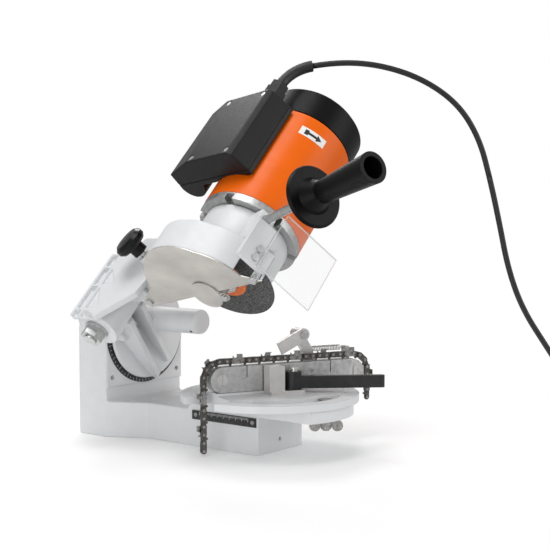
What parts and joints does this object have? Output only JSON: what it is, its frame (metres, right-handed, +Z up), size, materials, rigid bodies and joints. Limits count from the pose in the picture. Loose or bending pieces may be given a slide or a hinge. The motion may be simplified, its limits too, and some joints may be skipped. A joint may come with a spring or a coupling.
{
  "type": "bench saw-chain grinder",
  "caption": "Bench grinder for saw chains: cast base, turning vise table holding a chain, and a tilting motor head with thin wheel, guard, handle and mains cord.",
  "frame": {"origin": "table axis on the underside of the base", "axes": "+Z up, -Y towards the operator, +X to the operator's right"},
  "size_m": [0.5211, 0.6453, 0.4655],
  "materials": {
    "casting": "satin pale grey paint on castings",
    "cover_steel": "rolled stainless sheet",
    "motor_paint": "gloss orange paint",
    "black_plastic": "moulded, fine grain",
    "gloss_black": "polished",
    "zinc": "zinc plated, mottled",
    "chain_steel": "oiled dark steel",
    "bright_steel": "bright plated",
    "black_steel": "black enamel",
    "abrasive": "resin-bonded grit",
    "clear_shield": "clear polycarbonate",
    "aluminium": "die cast",
    "scale_black": "black with pale ticks",
    "cord_black": "rubber sheathed",
    "iron_core": "stacked sheet",
    "bronze": "sintered bush"
  },
  "bodies": {
    "base": {"base_casting": "casting", "scale_plate": "casting", "angle_scale": "scale_black", "ruler_strip": "scale_black", "ruler_rivets": "bright_steel", "table_clamp_bolt": "bright_steel", "power_cord": "cord_black", "cord_coil": "cord_black", "power_plug": "black_plastic"},
    "wing": {"wing_nut": "bright_steel"},
    "table": {"turntable": "casting", "rear_rail": "zinc", "clamp_block": "bright_steel", "stop_post": "zinc", "pawl_pin": "bright_steel", "stop_spring": "bright_steel", "chain_links": "chain_steel", "chain_cutters": "chain_steel", "chain_rivets": "bright_steel"},
    "jaw": {"front_rail": "zinc", "rail_screws": "bright_steel"},
    "lever": {"clamp_lever": "black_steel"},
    "pawl": {"stop_pawl": "zinc"},
    "swivel": {"swivel_bracket": "casting", "swivel_stud": "bright_steel", "swivel_nut": "bright_steel", "hinge_bolt": "bright_steel", "hinge_nut": "bright_steel", "lift_spring": "bright_steel"},
    "arm": {"arm_casting": "casting", "hinge_bushes": "bronze", "wheel_guard": "casting", "guard_cover": "cover_steel", "guard_screws": "bright_steel", "motor_tube": "motor_paint", "front_bell": "aluminium", "stator_core": "iron_core", "rear_bell": "aluminium", "spindle_bearings": "bright_steel", "fan_cap": "black_plastic", "shield_bracket": "casting", "shield": "clear_shield", "handle_rod": "bright_steel", "handle_grip": "black_plastic", "terminal_tray": "black_plastic", "capacitor": "black_plastic", "terminal_lid": "black_plastic", "lid_screws": "bright_steel", "cable_gland": "black_plastic", "strain_relief": "cord_black"},
    "hatch": {"hub_hatch": "cover_steel"},
    "rotor": {"spindle_shaft": "bright_steel", "rotor_core": "iron_core", "wheel_flanges": "bright_steel", "grinding_wheel": "abrasive", "spindle_nut": "bright_steel", "cooling_fan": "black_plastic"},
    "rocker": {"switch_rocker": "black_plastic"},
    "depth": {"depth_screw": "bright_steel"},
    "knob": {"depth_knob": "gloss_black"}
  },
  "joints": [
    {"name": "head_swivel", "type": "hinge", "parent": "base", "child": "swivel", "pos_m": [0, 0.208, 0.132], "axis": [0, 1, 0], "range_deg": [-15, 45], "deforming": ["power_cord"]},
    {"name": "arm_lift", "type": "hinge", "parent": "swivel", "child": "arm", "pos_m": [-0.06223, 0.174, 0.19423], "axis": [-0.7071, 0, -0.7071], "range_deg": [-21, 0], "stiffness_Nm_per_rad": 24, "springref_deg": 57.3, "deforming": ["power_cord"]},
    {"name": "spindle_spin", "type": "hinge", "parent": "arm", "child": "rotor", "pos_m": [-0.08468, -0.00318, 0.21668], "axis": [0.7071, 0, 0.7071], "continuous": true},
    {"name": "table_turn", "type": "hinge", "parent": "base", "child": "table", "pos_m": [0, 0, 0.06], "axis": [0, 0, 1], "range_deg": [-10, 60]},
    {"name": "lever_turn", "type": "hinge", "parent": "table", "child": "lever", "pos_m": [0.00974, -0.02881, 0.08], "axis": [0, 0, 1], "range_deg": [-90, 0]},
    {"name": "jaw_slide", "type": "slide", "parent": "table", "child": "jaw", "axis": [-0.4226, -0.9063, 0], "range_m": [0, 0.0015]},
    {"name": "pawl_flip", "type": "hinge", "parent": "table", "child": "pawl", "pos_m": [0.04078, -0.01902, 0.135], "axis": [0.4226, 0.9063, 0], "range_deg": [0, 60]},
    {"name": "wing_turn", "type": "hinge", "parent": "base", "child": "wing", "pos_m": [0, -0.082, 0.04], "axis": [0, 0, 1], "range_deg": [-180, 180]},
    {"name": "hatch_swing", "type": "hinge", "parent": "arm", "child": "hatch", "pos_m": [-0.11009, -0.02372, 0.18977], "axis": [0.7071, 0, 0.7071], "range_deg": [0, 110]},
    {"name": "switch_rock", "type": "hinge", "parent": "arm", "child": "rocker", "pos_m": [-0.02534, 0.09646, 0.35533], "axis": [0.6957, -0.1788, -0.6957], "range_deg": [-6, 6]},
    {"name": "depth_slide", "type": "slide", "parent": "arm", "child": "depth", "axis": [-0.6509, 0.3907, 0.6509], "range_m": [-0.002, 0.01]},
    {"name": "knob_turn", "type": "hinge", "parent": "depth", "child": "knob", "pos_m": [-0.09828, 0.13426, 0.24655], "axis": [-0.6509, 0.3907, 0.6509], "range_deg": [-576, 2880]}
  ],
  "couplings": [
    {"joint": "jaw_slide", "follows": "lever_turn", "m_per_rad": -0.00095493},
    {"joint": "knob_turn", "follows": "depth_slide", "rad_per_m": 5026.5}
  ]
}
